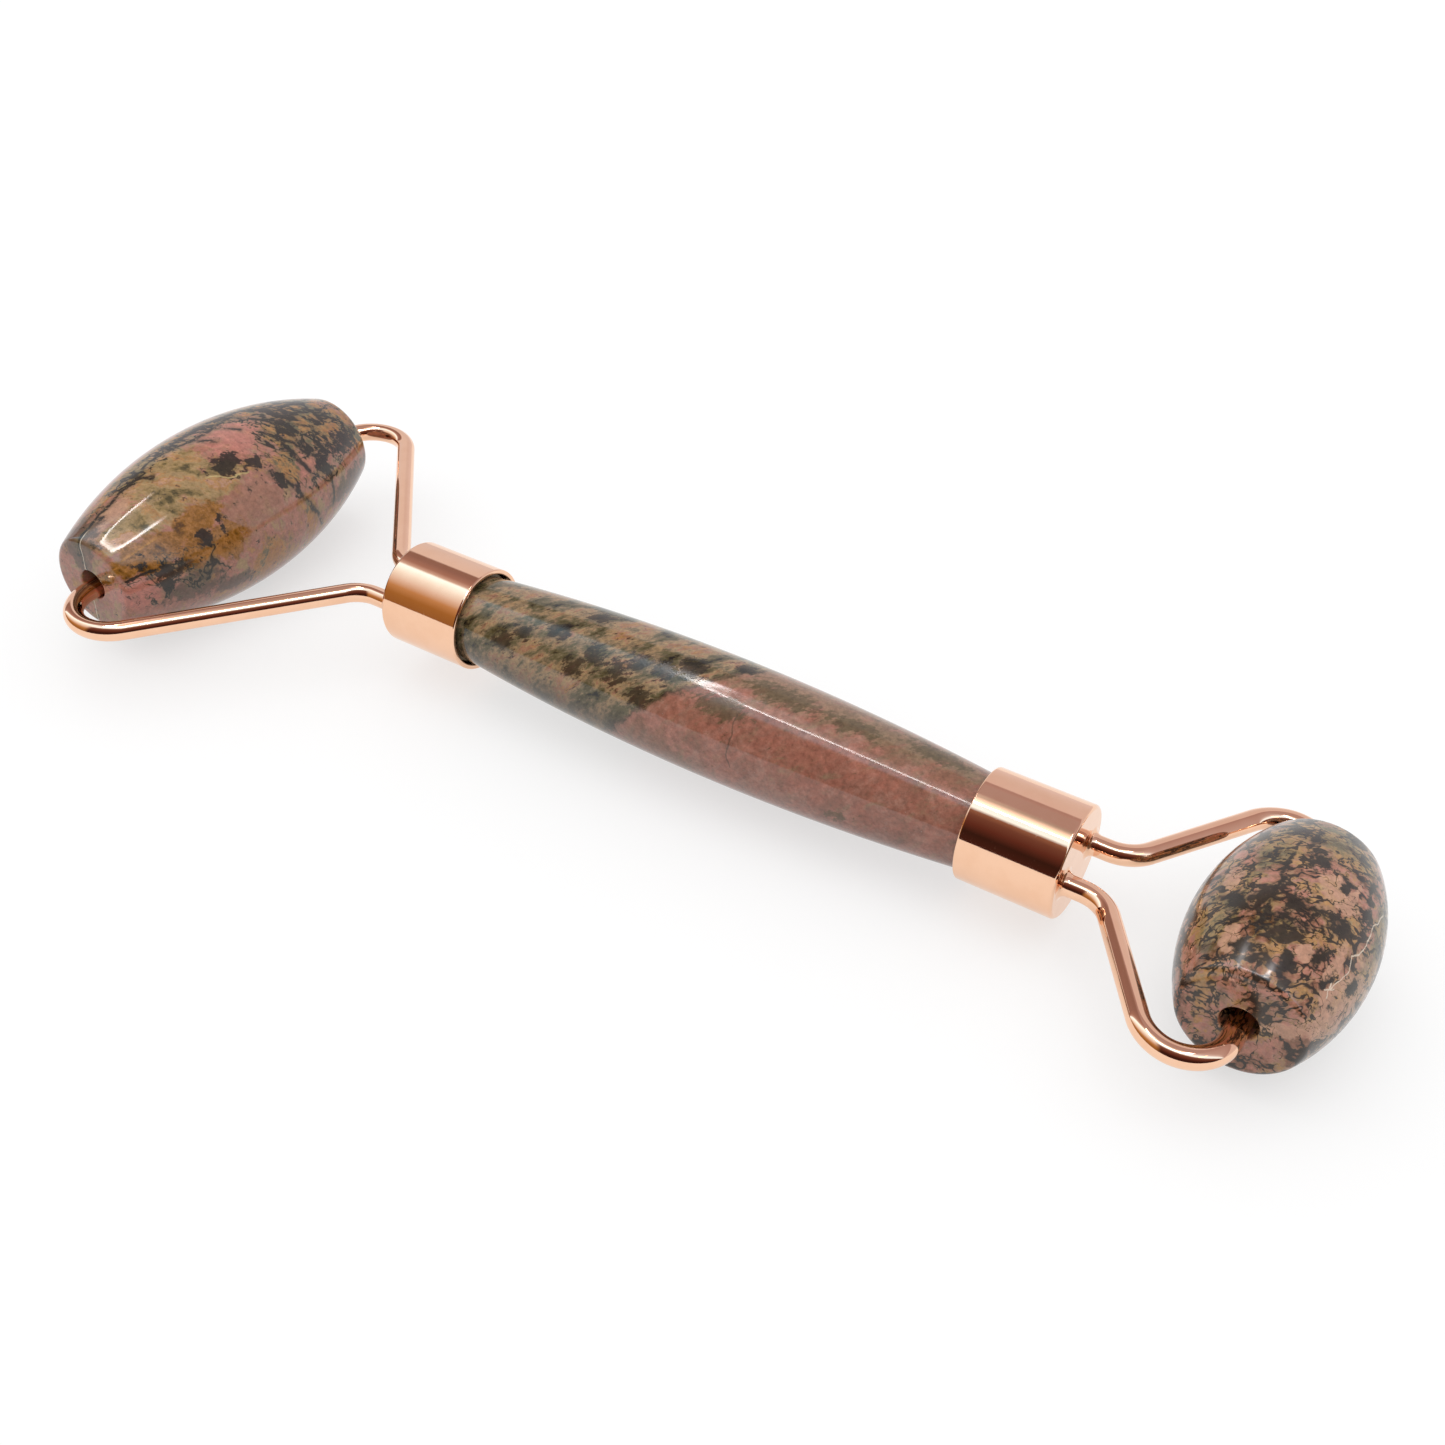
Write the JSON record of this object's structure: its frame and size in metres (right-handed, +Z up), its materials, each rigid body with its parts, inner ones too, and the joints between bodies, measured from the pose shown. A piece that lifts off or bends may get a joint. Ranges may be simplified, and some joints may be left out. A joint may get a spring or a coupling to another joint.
{
  "type": "double-ended stone face roller",
  "caption": "Hand-held face massage roller: a stone handle with a wide and a narrow stone roller spinning in rose-gold wire yokes.",
  "frame": {"origin": "under the middle of the outline, on the surface that both rollers rest on", "axes": "+X along the handle towards the small roller, +Y towards the left arms, +Z up"},
  "size_m": [0.1496, 0.0534, 0.02],
  "materials": {
    "handle_rhodonite": "polished, dusty pink with grey-green streaks at the large end",
    "large_roller_rhodonite": "polished, pink and ochre with fine black veins",
    "small_roller_rhodonite": "polished, black and tan net over pink",
    "rose_gold": "mirror-polished rose-gold plating",
    "cured_epoxy": "cured amber-white epoxy, hidden"
  },
  "bodies": {
    "handle": {"handle_stone": "handle_rhodonite", "large_ferrule": "rose_gold", "small_ferrule": "rose_gold", "large_adhesive": "cured_epoxy", "small_adhesive": "cured_epoxy", "large_yoke_left_arm": "rose_gold", "large_yoke_right_arm": "rose_gold", "small_yoke_left_arm": "rose_gold", "small_yoke_right_arm": "rose_gold"},
    "large_roller": {"large_roller_stone": "large_roller_rhodonite"},
    "small_roller": {"small_roller_stone": "small_roller_rhodonite"}
  },
  "joints": [
    {"name": "large_roller_spin", "type": "hinge", "parent": "handle", "child": "large_roller", "pos_m": [-0.0648, 0, 0.01], "axis": [0, 1, 0], "continuous": true},
    {"name": "small_roller_spin", "type": "hinge", "parent": "handle", "child": "small_roller", "pos_m": [0.0663, 0, 0.0085], "axis": [0, 1, 0], "continuous": true}
  ]
}
